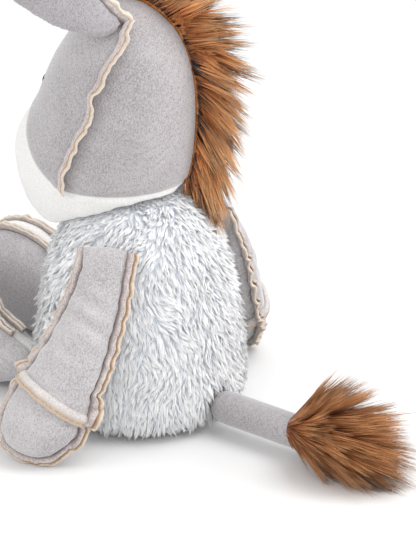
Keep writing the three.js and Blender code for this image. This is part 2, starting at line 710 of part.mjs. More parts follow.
// Tail: a stuffed tube with a closed root and a tuft of long fur over its end
function buildTail() {
  const group = new THREE.Group();
  group.position.set(0, tailRoot, tailHeight);
  const tubeEnd = tailLength + tuftOverlap;
  const along = (points, sides) => {
    const geometry = geometryOf(turned(points, sides));
    geometry.rotateX(-Math.PI / 2);
    return solid(geometry);
  };
  const rounded = (radius) => {
    const points = [[0, -radius]];
    for (let i = 1; i <= 5; i += 1) {
      const angle = (i / 5) * (Math.PI / 2);
      points.push([radius * Math.sin(angle), -radius * Math.cos(angle)]);
    }
    return points;
  };
  const inner = tailRadius - velourThickness;
  const core = inner - gap;
  const tube = along([...rounded(tailRadius), [tailRadius, tubeEnd], [0, tubeEnd]], 18)
    .subtract(along([...rounded(inner), [inner, tubeEnd + 1], [0, tubeEnd + 1]], 12));
  const stuffing = along([...rounded(core), [core, tubeEnd], [0, tubeEnd]], 12);
  const floor = -(tailHeight + floorCut) / tuftDiameter;
  const top = 1 - tailHeight / tuftDiameter;
  const inTuft = ([length, height]) => [tailLength + length * tuftLength, height * tuftDiameter];
  const throat = ([length, radii]) => [tailLength + length * tuftLength, radii * tailRadius];
  const tuft = stuffed({
    edgeA: [throat([-0.036, 0]), throat([-0.012, 1.3]), ...[[0.143, top - 0.115], [0.405, top],
      [0.69, top - 0.115], [0.905, top - 0.423], [1, -0.077]].map(inTuft)],
    edgeB: [throat([-0.036, 0]), throat([-0.012, -1.2]), ...[[0.143, floor + 0.02], [0.405, floor],
      [0.69, floor], [0.905, floor + 0.058], [1, -0.077]].map(inTuft)],
    swell: [0, tailRadius * 1.3, tuftDiameter * 0.42, tuftDiameter / 2, tuftDiameter * 0.44,
      tuftDiameter * 0.22, 0],
  });
  const socket = along([[0, -tailRadius], [tailRadius + gap, -tailRadius],
    [tailRadius + gap, tubeEnd + gap], [0, tubeEnd + gap]], 18);
  const brush = tuft(0, 11, 12).subtract(socket).subtract(floorUnder(group));
  group.add(piece('tail_sleeve', geometryOf(tube), velour));
  group.add(piece('tail_filling', geometryOf(stuffing), fibre));
  group.add(piece('tail_tuft', geometryOf(brush), brownFur));
  return group;
}

const donkey = new THREE.Group();
const head = buildHead();
head.add(buildEar(1), buildEar(-1));
donkey.add(buildBody(), buildSqueaker(), head, buildArm(1), buildArm(-1));
donkey.add(buildLeg(1), buildLeg(-1), buildTail());

export default donkey;
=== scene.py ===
import json
import math

import bmesh
import bpy
import numpy as np
from mathutils import Matrix, Vector, noise
from mathutils.bvhtree import BVHTree


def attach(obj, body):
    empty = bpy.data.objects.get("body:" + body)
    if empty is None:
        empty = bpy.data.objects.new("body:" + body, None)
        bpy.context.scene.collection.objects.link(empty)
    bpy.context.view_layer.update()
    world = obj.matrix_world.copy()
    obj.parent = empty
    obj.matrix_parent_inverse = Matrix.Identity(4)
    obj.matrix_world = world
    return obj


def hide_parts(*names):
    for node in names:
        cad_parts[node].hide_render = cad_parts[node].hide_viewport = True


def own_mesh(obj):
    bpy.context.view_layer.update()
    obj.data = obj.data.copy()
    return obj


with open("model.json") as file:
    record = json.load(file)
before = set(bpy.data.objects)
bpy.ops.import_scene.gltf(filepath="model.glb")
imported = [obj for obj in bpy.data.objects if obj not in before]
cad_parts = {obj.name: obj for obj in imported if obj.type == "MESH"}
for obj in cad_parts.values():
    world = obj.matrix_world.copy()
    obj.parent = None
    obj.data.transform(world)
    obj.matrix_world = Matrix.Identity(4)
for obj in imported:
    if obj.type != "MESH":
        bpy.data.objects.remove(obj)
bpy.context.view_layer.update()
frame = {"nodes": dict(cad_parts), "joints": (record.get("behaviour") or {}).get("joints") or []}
mm = 0.001

# Body
# A round cushion of long white plush with grey roots, sewn from a front panel,
# two back panels and a flat base, and packed with loose fibre.


def pieces_joined(name, nodes):
    """One mesh from the panels and the filling of a part."""
    shape = bmesh.new()
    for node in nodes:
        shape.from_mesh(frame["nodes"][node].data)
    bmesh.ops.remove_doubles(shape, verts=shape.verts, dist=0.01 * mm)
    mesh = bpy.data.meshes.new(name)
    shape.to_mesh(mesh)
    shape.free()
    return mesh


def shown(name, data):
    obj = bpy.data.objects.new(name, data)
    bpy.context.scene.collection.objects.link(obj)
    return obj


def finished(obj):
    """The mesh with its modifiers applied."""
    bpy.context.view_layer.update()
    plain = bpy.data.meshes.new_from_object(obj.evaluated_get(bpy.context.evaluated_depsgraph_get()))
    obj.modifiers.clear()
    obj.data = plain


def outer_skin_only(obj):
    """Drops the small closed skins that are left between panels and filling."""
    shape = bmesh.new()
    shape.from_mesh(obj.data)
    left, skins = set(shape.verts), []
    while left:
        reached = [left.pop()]
        skins.append(list(reached))
        while reached:
            reached = {link.other_vert(vert) for vert in reached for link in vert.link_edges} & left
            left -= reached
            skins[-1] += reached
    skins.sort(key=len)
    for skin in skins[:-1]:
        bmesh.ops.delete(shape, geom=skin, context="VERTS")
    shape.to_mesh(obj.data)
    shape.free()


def points_of(obj):
    co = np.empty(len(obj.data.vertices) * 3)
    obj.data.vertices.foreach_get("co", co)
    return co.reshape(-1, 3)


def move_points(obj, co):
    obj.data.vertices.foreach_set("co", np.asarray(co, float).ravel())
    obj.data.update()


def normals_of(obj):
    value = np.empty(len(obj.data.vertices) * 3)
    obj.data.vertex_normals.foreach_get("vector", value)
    return value.reshape(-1, 3)


def unit(values):
    return values / np.maximum(np.linalg.norm(values, axis=-1, keepdims=True), 1e-9)


def rounded(obj, rounds):
    """Smooths the facets away, and moves back by half so that the part keeps its size."""
    inward, outward = 0.6, -0.3
    links = np.empty(len(obj.data.edges) * 2, dtype=np.int64)
    obj.data.edges.foreach_get("vertices", links)
    a, b = links.reshape(-1, 2).T
    co = points_of(obj)
    count = np.bincount(np.concatenate([a, b]), minlength=len(co))[:, None]
    for step in range(rounds * 2):
        pull = np.zeros_like(co)
        np.add.at(pull, a, co[b])
        np.add.at(pull, b, co[a])
        share = inward if step % 2 == 0 else outward
        co = co + share * (pull / count - co)
    move_points(obj, co)


def stuffed_cover(name, nodes, grain=2.8, rounds=14):
    obj = shown(name, pieces_joined(name, nodes))
    remesh = obj.modifiers.new("skin", "REMESH")
    remesh.mode = "VOXEL"
    remesh.voxel_size = grain * mm
    remesh.use_smooth_shade = True
    finished(obj)
    outer_skin_only(obj)
    rounded(obj, rounds)
    return obj


def finer(obj):
    subdivision = obj.modifiers.new("finer", "SUBSURF")
    subdivision.levels = 1
    subdivision.render_levels = 1
    finished(obj)
    for face in obj.data.polygons:
        face.use_smooth = True


def keep_attribute(obj, name, values, kind="FLOAT"):
    attribute = obj.data.attributes.new(name, kind, "POINT")
    field = "vector" if kind == "FLOAT_VECTOR" else "value"
    attribute.data.foreach_set(field, np.asarray(values, np.float32).ravel())


def node(tree, kind, inputs=None, **settings):
    made = tree.nodes.new(kind)
    for key, value in settings.items():
        setattr(made, key, value)
    for key, value in (inputs or {}).items():
        if isinstance(value, bpy.types.NodeSocket):
            tree.links.new(value, made.inputs[key])
        elif value is not None:
            made.inputs[key].default_value = value
    return made


def colour(code):
    """A colour as it looks, written as six hex digits, for a shader."""
    parts = [int(code[i:i + 2], 16) / 255 for i in (0, 2, 4)]
    return [c / 12.92 if c <= 0.04045 else ((c + 0.055) / 1.055) ** 2.4 for c in parts] + [1.0]


def ranged(tree, value, low, high, start=0.0, end=1.0):
    """A value from start to end, as the given one goes from low to high."""
    return node(tree, "ShaderNodeMapRange", {
        "Value": value, "From Min": low, "From Max": high, "To Min": start, "To Max": end}).outputs[0]


def ramp(tree, factor, stops):
    made = node(tree, "ShaderNodeValToRGB", {0: factor})
    elements = made.color_ramp.elements
    while len(elements) < len(stops):
        elements.new(0.5)
    for element, (place, code) in zip(elements, stops):
        element.position = place
        element.color = colour(code)
    return made.outputs[0]


def math_node(tree, operation, a, b):
    return node(tree, "ShaderNodeMath", {0: a, 1: b}, operation=operation).outputs[0]


def mixed(tree, factor, a, b):
    return node(tree, "ShaderNodeMix", {0: factor, 6: a, 7: b}, data_type="RGBA").outputs[2]


def new_material(name):
    material = bpy.data.materials.new(name)
    material.use_nodes = True
    material.node_tree.nodes.clear()
    return material, material.node_tree


def grain_of(tree, scale, detail=2):
    """Uneven grey grain in a material, which stays with the object."""
    place = node(tree, "ShaderNodeTexCoord").outputs["Object"]
    return node(tree, "ShaderNodeTexNoise", {"Vector": place, "Scale": scale, "Detail": detail}).outputs[0]


def stored(tree, name):
    return node(tree, "ShaderNodeAttribute", attribute_name=name).outputs["Fac"]


def close_material(tree, colour_socket, bump_height, roughness=1.0, sheen=0.0, bump=0.3):
    """Ends a material in its shader. The bump may stand half a millimetre high."""
    relief = None
    if bump_height is not None:
        relief = node(tree, "ShaderNodeBump", {
            "Strength": bump, "Distance": 0.5 * mm, "Height": bump_height}).outputs[0]
    shader = node(tree, "ShaderNodeBsdfPrincipled", {
        "Base Color": colour_socket, "Roughness": roughness, "Specular IOR Level": 0.15,
        "Sheen Weight": sheen, "Sheen Roughness": 0.4, "Normal": relief})
    node(tree, "ShaderNodeOutputMaterial", {0: shader.outputs[0]})


def pull_in(obj, depth, floor=None):
    """Shrinks a cover, so that its hair has room up to the outline."""
    co = points_of(obj) - normals_of(obj) * depth * mm
    if floor is not None:
        co[:, 2] = np.maximum(co[:, 2], floor * mm)
    move_points(obj, co)


body_nodes = ["body_front", "body_back_left", "body_back_right", "body_base",
              "body_filling_lower", "body_filling_upper"]
pile_depth = 3.0
backing_height = 0.6
body = stuffed_cover("body_plush", body_nodes, grain=3.0, rounds=12)
pull_in(body, pile_depth, floor=backing_height)
finer(body)

cloth_back, tree = new_material("plush backing")
weave = grain_of(tree, 500)
close_material(tree, ramp(tree, weave, [(0.35, "ccd3dc"), (0.65, "e4e8ee")]), weave)
body.data.materials.append(cloth_back)

# Long pile: tapered locks that grow out of a cover and lie along it. Neighbours
# cling together, so their tips draw in to the tip of the clump that they are in.


def pile_tree(name, sides, rings):
    """Locks all over a mesh, which gives the way they lie and their share of the length
    at each point."""
    tree = bpy.data.node_groups.new(name, "GeometryNodeTree")
    face = tree.interface
    face.new_socket("Geometry", in_out="INPUT", socket_type="NodeSocketGeometry")
    for label in ("Locks per square metre", "Clumps per square metre", "Length", "Width", "Lift",
                  "Disorder", "Gather", "Bend", "Clump Shade"):
        face.new_socket(label, in_out="INPUT", socket_type="NodeSocketFloat")
    face.new_socket("Seed", in_out="INPUT", socket_type="NodeSocketInt")
    face.new_socket("Material", in_out="INPUT", socket_type="NodeSocketMaterial")
    face.new_socket("Geometry", in_out="OUTPUT", socket_type="NodeSocketGeometry")
    given = tree.nodes.new("NodeGroupInput").outputs
    place = node(tree, "GeometryNodeInputPosition").outputs[0]

    def named(label, kind="FLOAT"):
        return node(tree, "GeometryNodeInputNamedAttribute", {"Name": label}, data_type=kind).outputs[0]

    def vector(operation, a, b=None, scale=None):
        made = node(tree, "ShaderNodeVectorMath", {0: a, 1: b, "Scale": scale}, operation=operation)
        return made.outputs["Value" if operation == "LENGTH" else "Vector"]

    def chance(low, high, kind="FLOAT", shift=0):
        seed = math_node(tree, "ADD", given["Seed"], float(shift))
        first = 0 if kind == "FLOAT_VECTOR" else 2
        made = node(tree, "FunctionNodeRandomValue", {first: low, first + 1: high, "Seed": seed},
                    data_type=kind)
        return made.outputs[first // 2]

    lay, reach = named("lay", "FLOAT_VECTOR"), named("reach")
    points, clumps = (
        node(tree, "GeometryNodeDistributePointsOnFaces", {
            "Mesh": given["Geometry"], "Density": given[density], "Seed": given["Seed"]}).outputs
        for density in ("Locks per square metre", "Clumps per square metre"))

    def direction(normal, share, shift):
        stray = vector("SCALE", chance((-1, -1, -1), (1, 1, 1), "FLOAT_VECTOR", shift), scale=share)
        raised = vector("ADD", lay, vector("SCALE", normal, scale=given["Lift"]))
        return vector("NORMALIZE", vector("ADD", raised, stray))

    nearest = node(tree, "GeometryNodeSampleNearest", {0: clumps["Points"]}, domain="POINT").outputs[0]

    def of_clump(value, kind="FLOAT"):
        made = node(tree, "GeometryNodeSampleIndex", {
            "Geometry": clumps["Points"], "Value": value, "Index": nearest}, data_type=kind, domain="POINT")
        return made.outputs[0]

    whole = math_node(tree, "MULTIPLY", given["Length"], chance(0.8, 1.2, shift=71))
    clump_length = math_node(tree, "MULTIPLY", whole, reach)
    clump_way = direction(clumps["Normal"], given["Disorder"], 83)
    clump_tip = of_clump(vector("ADD", place, vector("SCALE", clump_way, scale=clump_length)), "FLOAT_VECTOR")
    own_share = math_node(tree, "MULTIPLY", given["Disorder"], 0.5)
    own_length = math_node(tree, "MULTIPLY", given["Length"], reach)
    own_way = direction(points["Normal"], own_share, 11)
    own_tip = vector("ADD", place, vector("SCALE", own_way, scale=own_length))
    pulled = node(tree, "ShaderNodeMix", {0: given["Gather"], 4: own_tip, 5: clump_tip}, data_type="VECTOR")
    grow = vector("SUBTRACT", pulled.outputs[1], place)
    upright = node(tree, "FunctionNodeAlignRotationToVector", {"Vector": grow}, axis="Z")
    leaning = node(tree, "FunctionNodeAlignRotationToVector",
                   {"Rotation": upright.outputs[0], "Vector": lay}, axis="X", pivot_axis="Z")
    lock = node(tree, "GeometryNodeMeshCone", {
        "Vertices": sides, "Side Segments": rings, "Radius Top": 0.0, "Radius Bottom": 1.0, "Depth": 1.0})
    parts = node(tree, "ShaderNodeSeparateXYZ", {0: place}).outputs
    bulge = math_node(tree, "MULTIPLY", parts[2], 0.8)
    fuller = node(tree, "ShaderNodeCombineXYZ", {
        axis: math_node(tree, "MULTIPLY", parts[axis], bulge) for axis in (0, 1)})
    leaf = node(tree, "GeometryNodeSetPosition", {
        "Geometry": lock.outputs["Mesh"], "Offset": fuller.outputs[0]})
    marked = node(tree, "GeometryNodeStoreNamedAttribute", {
        "Geometry": leaf.outputs[0], "Name": "tip", "Value": parts[2]}, data_type="FLOAT", domain="POINT")
    width = math_node(tree, "MULTIPLY", given["Width"], chance(0.4, 1.5, shift=23))
    length = math_node(tree, "MULTIPLY", vector("LENGTH", grow), chance(0.65, 1.1, shift=31))
    scale_in = node(tree, "ShaderNodeCombineXYZ", {0: width, 1: width, 2: length})
    wanted = node(tree, "FunctionNodeCompare", {0: reach, 1: 0.08}, data_type="FLOAT",
                  operation="GREATER_THAN")
    locks = node(tree, "GeometryNodeInstanceOnPoints", {
        "Points": points["Points"], "Selection": wanted.outputs[0],
        "Instance": marked.outputs[0], "Rotation": leaning.outputs[0], "Scale": scale_in.outputs[0]})
    last = locks.outputs[0]
    own_tone, clump_tone = chance(0.0, 1.0, shift=47), of_clump(chance(0.0, 1.0, shift=97))
    tone = node(tree, "ShaderNodeMix", {0: given["Clump Shade"], 2: own_tone, 3: clump_tone}).outputs[0]
    even_swing = math_node(tree, "MULTIPLY", length, given["Bend"])
    swing = math_node(tree, "MULTIPLY", even_swing, chance(0.6, 1.4, shift=59))
    for label, value, kind in (("shade", tone, "FLOAT"), ("curl", swing, "FLOAT"),
                               ("outward", points["Normal"], "FLOAT_VECTOR"),
                               ("over", of_clump(lay, "FLOAT_VECTOR"), "FLOAT_VECTOR")):
        last = node(tree, "GeometryNodeStoreNamedAttribute", {
            "Geometry": last, "Name": label, "Value": value}, data_type=kind, domain="INSTANCE").outputs[0]
    real = node(tree, "GeometryNodeRealizeInstances", {0: last})
    bow = math_node(tree, "MULTIPLY", math_node(tree, "POWER", named("tip"), 2.0), named("curl"))
    bent = node(tree, "GeometryNodeSetPosition", {
        "Geometry": real.outputs[0], "Offset": vector("SCALE", named("over", "FLOAT_VECTOR"), scale=bow)})
    smooth = node(tree, "GeometryNodeSetShadeSmooth", {"Geometry": bent.outputs[0]})
    dressed = node(tree, "GeometryNodeSetMaterial", {
        "Geometry": smooth.outputs[0], "Material": given["Material"]})
    node(tree, "NodeGroupOutput", {0: dressed.outputs[0]})
    return tree


def grow_pile(name, surface, tree, material, downy=0.7, **sizes):
    """The locks over a surface, as a plain mesh of their own. A downy lock is so fine
    that it takes the light as the surface under it does."""
    obj = shown(name, surface.data.copy())
    growth = obj.modifiers.new("pile", "NODES")
    growth.node_group = tree
    values = dict(sizes, Material=material)
    for item in tree.interface.items_tree:
        if item.in_out == "INPUT" and item.name in values:
            growth[item.identifier] = values[item.name]
    finished(obj)
    outward = np.empty(len(obj.data.vertices) * 3)
    obj.data.attributes["outward"].data.foreach_get("vector", outward)
    outward = outward.reshape(-1, 3) * downy + normals_of(obj) * (1 - downy)
    for attribute in ("over", "curl", "lay", "reach", "outward"):
        if attribute in obj.data.attributes:
            obj.data.attributes.remove(obj.data.attributes[attribute])
    co = points_of(obj)
    co[:, 2] = np.maximum(co[:, 2], 0.15 * mm)
    move_points(obj, co)
    obj.data.normals_split_custom_set_from_vertices(unit(outward).tolist())
    return obj


def part_of(name, obj, wanted):
    """A copy of a mesh with only the faces whose centre is wanted."""
    mesh = obj.data.copy()
    shape = bmesh.new()
    shape.from_mesh(mesh)
    drop = [face for face in shape.faces if not wanted(face.calc_center_median())]
    bmesh.ops.delete(shape, geom=drop, context="FACES")
    shape.to_mesh(mesh)
    shape.free()
    return shown(name, mesh)


def fur_material(name, stops, streak, sheen):
    """Hair coloured from root to tip by its stops. The streak is the colour of the
    darkest locks, how far they take it, and how few they are."""
    material, tree = new_material(name)
    along = ramp(tree, stored(tree, "tip"), stops)
    code, most, rarity = streak
    darker = math_node(tree, "MULTIPLY", math_node(tree, "POWER", stored(tree, "shade"), rarity), most)
    close_material(tree, mixed(tree, darker, along, colour(code)), None, roughness=0.75, sheen=sheen)
    return material


short_lock = pile_tree("short pile", 3, 2)
plush_white = fur_material("white plush", [(0.0, "d0d7e2"), (0.35, "fbfcfe"), (0.7, "ffffff")],
                           ("a8b1be", 0.7, 4.0), sheen=0.6)


def drift(points, scale):
    """A way for the hair to stray at each point, alike at points that are close."""
    apart = (Vector((0, 0, 0)), Vector((31.4, 7.7, 52.1)), Vector((-18.3, 41.9, 5.6)))
    return np.array([[noise.noise(Vector(p) * scale + shift) for shift in apart] for p in points])


co = points_of(body)
normal = normals_of(body)
down = np.array([0.0, 0.0, -1.0])
swirl = drift(co, 32)
ruffle = drift(co, 85)
lay = down + swirl * 0.9 + ruffle * 0.8
lay -= normal * (lay * normal).sum(1)[:, None]
keep_attribute(body, "lay", unit(lay), "FLOAT_VECTOR")


def surface_of(mesh):
    shape = bmesh.new()
    shape.from_mesh(mesh)
    tree = BVHTree.FromBMesh(shape)
    shape.free()
    return tree


def nearness(points, nodes):
    """How far each point is from some of the solids, in millimetres."""
    mesh = pieces_joined("near", nodes)
    solid = surface_of(mesh)
    bpy.data.meshes.remove(mesh)
    return np.array([solid.find_nearest(Vector(p))[3] for p in points]) / mm


limbs = [n for n in frame["nodes"] if n.startswith(("arm_", "leg_", "head_")) and "seam" not in n]
reach = np.clip((nearness(co, limbs) - 0.5) / 5, 0.12, 1.0)
reach *= np.clip(nearness(co, ["tail_sleeve"]) / 4, 0.3, 1.0)
reach[co[:, 2] < 2.0 * mm] = 0
patch = np.array([noise.noise(Vector(p) * 90) for p in co])
keep_attribute(body, "reach", reach * (1 + 0.25 * patch))

for word, start in (("front_left", 270), ("front_right", 180), ("back_left", 0), ("back_right", 90)):
    lower, upper = math.radians(start), math.radians(start + 90)

    def in_sector(point):
        return lower <= math.atan2(point.y, point.x) % (2 * math.pi) < upper

    surface = part_of("surface", body, in_sector)
    pile = grow_pile("body_pile_" + word, surface, short_lock, plush_white, **{
        "Locks per square metre": 1.1e6, "Clumps per square metre": 1.7e5, "Length": 6.4 * mm,
        "Width": 0.46 * mm, "Lift": 0.6, "Disorder": 0.6, "Gather": 0.75, "Bend": 0.1,
        "Clump Shade": 0.6, "Seed": start + 3, "downy": 0.85})
    bpy.data.objects.remove(surface)
    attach(pile, "body")
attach(body, "body")
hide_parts(*body_nodes)

# Squeaker
# A plastic bellows between a base disc with a reed and a cap. It is loose in the
# filling of the belly, and its folds close when the belly is pressed.

squeaker_plastic, tree = new_material("squeaker plastic")
flow = grain_of(tree, 180, 3)
close_material(tree, ramp(tree, flow, [(0.3, "dcd8cc"), (0.7, "eeebe2")]), flow, roughness=0.45, bump=0.1)
for name in ("squeaker_base", "squeaker_bellows", "squeaker_cap"):
    piece = frame["nodes"][name]
    piece.data.materials.clear()
    piece.data.materials.append(squeaker_plastic)
folds = shown("squeaker_folds", frame["nodes"]["squeaker_bellows"].data.copy())
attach(folds, "body")
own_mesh(folds)
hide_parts("squeaker_bellows")

# Head
# Grey velour cheeks and face over a white velour chin band, packed full. The
# band is sewn with its edges turned in, so only a fine line shows.

head_facing = 24
head_turn = Matrix.Rotation(math.radians(head_facing), 3, "Z")
head_nodes = ["head_side_left", "head_side_right", "head_face", "head_chin", "head_filling"]


def curve_through(points, steps=24):
    """A smooth curve through points, as a list of close points."""
    p = [np.array(q, float) for q in points]
    p = [p[0]] + p + [p[-1]]
    out = []
    for i in range(1, len(p) - 2):
        for k in range(steps):
            t = k / steps
            v0, v1 = (p[i + 1] - p[i - 1]) / 2, (p[i + 2] - p[i]) / 2
            out.append((2 * p[i] - 2 * p[i + 1] + v0 + v1) * t ** 3
                       + (-3 * p[i] + 3 * p[i + 1] - 2 * v0 - v1) * t ** 2 + v0 * t + p[i])
    out.append(p[-2])
    return np.array(out)


chin_line = curve_through([(63.5, 146.5), (10, 144.5), (-33, 145), (-42, 148.5), (-54, 159), (-61.5, 171.7),
                           (-67.5, 188.5), (-95, 206.7)])
cheek_line = curve_through([(0.5, 242), (-1, 236), (-3.3, 227.5), (-8, 220), (-16, 203), (-18, 190),
                            (-23, 181), (-32, 163), (-34.5, 154), (-35.5, 146.5)], steps=10)


def into_frame(points, turned, origin=(0, 0, 0)):
    """Points in the own frame of a turned part, from its root, in millimetres."""
    return (np.asarray(points) - np.array(origin)) @ np.array(turned) / mm


def out_of_frame(local, turned, origin=(0, 0, 0)):
    return local @ np.array(turned).T * mm + np.array(origin)


def in_head(points):
    return into_frame(points, head_turn)


def above_line(points, line):
    """Distance from a line in the side view, in millimetres, and less than nothing below it."""
    flat = points[:, 1:]
    level = np.interp(flat[:, 0], line[::-1, 0], line[::-1, 1])
    best = np.full(len(flat), 1e9)
    for a, b in zip(line[:-1:2], line[2::2]):
        along = np.clip(((flat - a) @ (b - a)) / max((b - a) @ (b - a), 1e-9), 0, 1)
        best = np.minimum(best, np.linalg.norm(flat - a - along[:, None] * (b - a), axis=1))
    return np.where(flat[:, 1] > level, best, -best)


def packed_tight(obj, held, most=3.0):
    """Cloth held along its seams swells between them under the packed fibre, by so many
    millimetres at most."""
    frames = 20
    before = points_of(obj)
    group = obj.vertex_groups.new(name="seams")
    group.add([int(i) for i in np.nonzero(held)[0]], 1.0, "REPLACE")
    cloth = obj.modifiers.new("cloth", "CLOTH")
    cloth.settings.use_pressure = True
    cloth.settings.uniform_pressure_force = 4
    cloth.settings.effector_weights.gravity = 0
    cloth.settings.vertex_group_mass = "seams"
    cloth.point_cache.frame_start = 1
    cloth.point_cache.frame_end = frames
    scene = bpy.context.scene
    for number in range(1, frames + 1):
        scene.frame_set(number)
    after = points_of(obj.evaluated_get(bpy.context.evaluated_depsgraph_get()))
    obj.modifiers.clear()
    obj.vertex_groups.clear()
    scene.frame_set(1)
    shift = after - before
    length = np.linalg.norm(shift, axis=1)[:, None]
    move_points(obj, before + shift * np.minimum(1, most * mm / np.maximum(length, 1e-9)))
    rounded(obj, 2)


head = stuffed_cover("head_cover", head_nodes, grain=2.8, rounds=16)
band = above_line(in_head(points_of(head)), chin_line)
packed_tight(head, np.abs(band) < 1.6)
finer(head)
band = above_line(in_head(points_of(head)), chin_line)
stitch_depth = 0.9
sunk_here = stitch_depth * mm * np.exp(-(band / 1.6) ** 2)
move_points(head, points_of(head) - normals_of(head) * sunk_here[:, None])
keep_attribute(head, "band", band)


def lumps(obj, height, size, squash=1.0):
    """The soft unevenness of packed fibre under the cover."""
    co = points_of(obj)
    way = np.array([noise.noise(Vector((p[0], p[1], p[2] * squash)) / (size * mm)) for p in co])
    move_points(obj, co + normals_of(obj) * (way * height * mm)[:, None])


lumps(head, 0.7, 26)


def nap(tree):
    """The short pile of velour: fine grain that lies this way and that in soft patches."""
    place = node(tree, "ShaderNodeTexCoord").outputs["Object"]
    combed = node(tree, "ShaderNodeMapping", {"Vector": place, "Scale": (1, 1, 0.7)}).outputs[0]
    grain = node(tree, "ShaderNodeTexNoise", {"Vector": combed, "Scale": 1250, "Detail": 3, "Roughness": 0.7})
    patch = node(tree, "ShaderNodeTexNoise", {"Vector": place, "Scale": 45, "Detail": 1, "Distortion": 0.5})
    ribs = node(tree, "ShaderNodeTexWave", {"Vector": place, "Scale": 110, "Distortion": 2, "Detail": 1,
                                            "Detail Scale": 1}, bands_direction="DIAGONAL")
    combed_here = ranged(tree, patch.outputs[0], 0.45, 0.6, end=0.04)
    share = math_node(tree, "MULTIPLY", grain.outputs[0], 0.85)
    share = math_node(tree, "ADD", share, math_node(tree, "MULTIPLY", patch.outputs[0], 0.15))
    groove = math_node(tree, "MULTIPLY", math_node(tree, "SUBTRACT", ribs.outputs["Fac"], 0.5), combed_here)
    return math_node(tree, "ADD", share, groove), grain.outputs[0]


def two_velours(name, distance, below, above):
    """Velour in two colours. They meet where the stored distance is nothing, and the
    pile crosses that line here and there."""
    material, tree = new_material(name)
    share, grain = nap(tree)
    stray = math_node(tree, "MULTIPLY", math_node(tree, "SUBTRACT", grain, 0.5), 1.6)
    ragged = math_node(tree, "ADD", stored(tree, distance), stray)
    both = mixed(tree, ranged(tree, ragged, -0.5, 0.5), ramp(tree, share, below), ramp(tree, share, above))
    close_material(tree, both, grain, sheen=0.8, bump=0.7)
    return material


head.data.materials.append(two_velours("head velour", "band", [(0.36, "d8d7d5"), (0.6, "e9e8e6")],
                                       [(0.36, "8e8a8c"), (0.57, "b6b2b4")]))
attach(head, "head")
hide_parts(*head_nodes)

# Raw seam edges
# The covers are sewn wrong side in: both cut edges stand up outside along the
# seam as a wavy double strip, with the cream backing showing at the cut.

edge_step = 1.1


def even(path, closed=False):
    """The same path with evenly spaced points."""
    line = np.vstack([path, path[:1]]) if closed else np.asarray(path)
    gaps = np.linalg.norm(np.diff(line, axis=0), axis=1)
    at = np.concatenate([[0], np.cumsum(gaps)])
    count = max(int(round(at[-1] / (edge_step * mm))), 4)
    where = np.linspace(0, at[-1], count + 1)
    out = np.stack([np.interp(where, at, line[:, k]) for k in range(3)], axis=1)
    return out[:-1] if closed else out


def softened(values, rounds, closed=False):
    out = np.array(values, float)
    for _ in range(rounds):
        before, after = np.roll(out, 1, axis=0), np.roll(out, -1, axis=0)
        mean = (before + 2 * out + after) / 4
        if not closed:
            mean[0], mean[-1] = out[0], out[-1]
        out = mean
    return out


def cut_velour(name, dark, light):
    """Velour whose cut rim and inner face show the cream backing, and which has painted
    shade, a dark brown-grey, where it dives into the seam."""
    material, tree = new_material(name)
    share, grain = nap(tree)
    rise = stored(tree, "rise")
    frayed = math_node(tree, "MULTIPLY", math_node(tree, "SUBTRACT", grain, 0.5), 0.35)
    cut = math_node(tree, "ADD", rise, frayed)
    # Painted shade: towards the root of the edge, where it dives into the seam crease, the velour darkens to
    # a brown-grey.
    painted_crease_shade = ranged(tree, rise, 0.05, 0.33, start=0.8, end=0.0)
    sides = mixed(tree, painted_crease_shade, ramp(tree, share, [(0.38, dark), (0.55, light)]), colour("6e615e"))
    cream = ramp(tree, cut, [(0.62, "a98d70"), (0.72, "ccbba9"), (0.9, "dcd3ca")])
    at_rim = ranged(tree, cut, 0.6, 0.68)
    shows = math_node(tree, "MAXIMUM", at_rim, stored(tree, "inside"))
    close_material(tree, mixed(tree, shows, sides, cream), grain, sheen=0.2, bump=0.6)
    return material


edge_velour = cut_velour("raw edge velour", "a4999a", "cdc4c0")


def closed_skin(name, verts, faces, material):
    mesh = bpy.data.meshes.new(name)
    mesh.from_pydata([tuple(v) for v in verts], [], faces)
    shape = bmesh.new()
    shape.from_mesh(mesh)
    bmesh.ops.recalc_face_normals(shape, faces=shape.faces)
    shape.to_mesh(mesh)
    shape.free()
    for face in mesh.polygons:
        face.use_smooth = True
    mesh.materials.append(material)
    return shown(name, mesh)


def ring_faces(first, count, size, closed=False):
    """The faces round a row of equal rings of points, with an end face at each end unless
    the row is closed."""
    faces = []
    for i in range(count if closed else count - 1):
        a, b = first + i * size, first + ((i + 1) % count) * size
        faces += [(a + k, a + (k + 1) % size, b + (k + 1) % size, b + k) for k in range(size)]
    if not closed:
        last = first + (count - 1) * size
        faces += [[first + k for k in range(size)][::-1], [last + k for k in range(size)]]
    return faces


